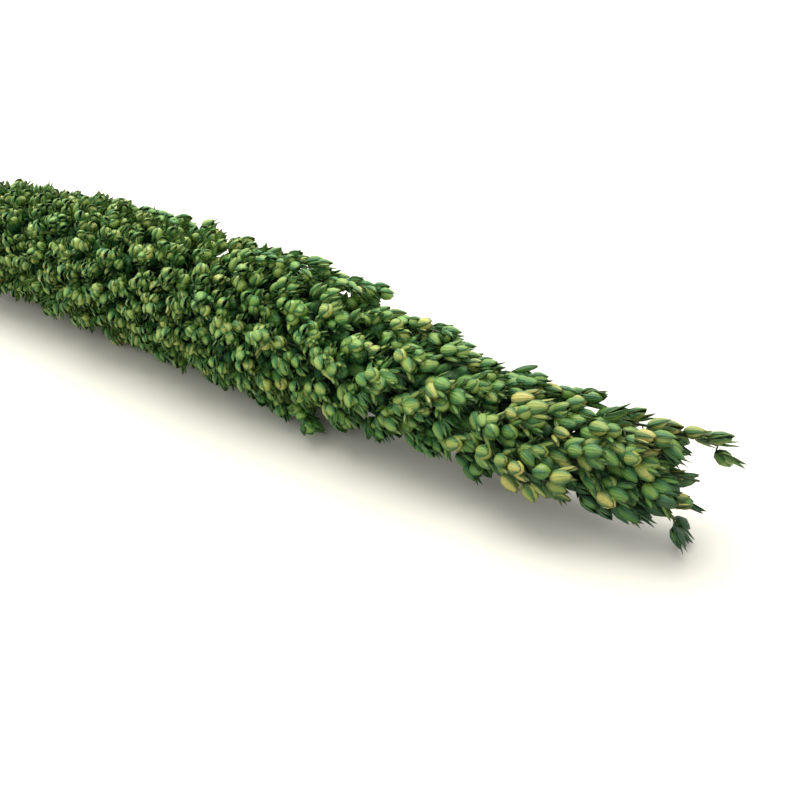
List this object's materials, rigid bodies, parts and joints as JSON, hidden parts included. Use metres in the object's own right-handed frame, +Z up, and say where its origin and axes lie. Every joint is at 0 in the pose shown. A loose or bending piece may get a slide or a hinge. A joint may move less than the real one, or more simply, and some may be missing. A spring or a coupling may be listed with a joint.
{
  "type": "sorghum seed head",
  "caption": "Slender sorghum head of pointed green grain spikelets, in tiers of sprays round a tapering stem, lying on its side with a bare cut stalk.",
  "frame": {"origin": "on the surface the head lies on, under the middle of its length and width", "axes": "+X along the head from the cut stalk to the tip, +Z up from the surface"},
  "size_m": [0.3612, 0.0482, 0.0446],
  "materials": {
    "stalk": "dry, faintly ribbed stalk, dyed olive green",
    "spikelets": "dry husks and grain, dyed deep green to yellow-green, satin"
  },
  "bodies": {
    "root": {"stalk": "stalk", "branch_01": "spikelets", "branch_02": "spikelets", "branch_03": "spikelets", "branch_04": "spikelets", "branch_05": "spikelets", "branch_06": "spikelets", "branch_07": "spikelets", "branch_08": "spikelets", "branch_09": "spikelets", "branch_10": "spikelets", "branch_11": "spikelets", "branch_12": "spikelets", "branch_13": "spikelets", "branch_14": "spikelets", "branch_15": "spikelets", "branch_16": "spikelets", "branch_17": "spikelets", "branch_18": "spikelets", "branch_19": "spikelets", "branch_20": "spikelets", "branch_21": "spikelets", "branch_22": "spikelets", "branch_23": "spikelets", "branch_24": "spikelets", "branch_25": "spikelets", "branch_26": "spikelets", "branch_27": "spikelets", "branch_28": "spikelets", "branch_29": "spikelets", "branch_30": "spikelets", "branch_31": "spikelets", "branch_32": "spikelets", "branch_33": "spikelets", "branch_34": "spikelets", "branch_35": "spikelets", "branch_36": "spikelets", "branch_37": "spikelets", "branch_38": "spikelets", "branch_39": "spikelets", "branch_40": "spikelets", "branch_41": "spikelets", "branch_42": "spikelets", "branch_43": "spikelets", "branch_44": "spikelets", "branch_45": "spikelets", "branch_46": "spikelets", "branch_47": "spikelets", "branch_48": "spikelets", "branch_49": "spikelets", "branch_50": "spikelets", "branch_51": "spikelets", "branch_52": "spikelets", "branch_53": "spikelets", "branch_54": "spikelets", "branch_55": "spikelets", "branch_56": "spikelets"}
  },
  "joints": []
}
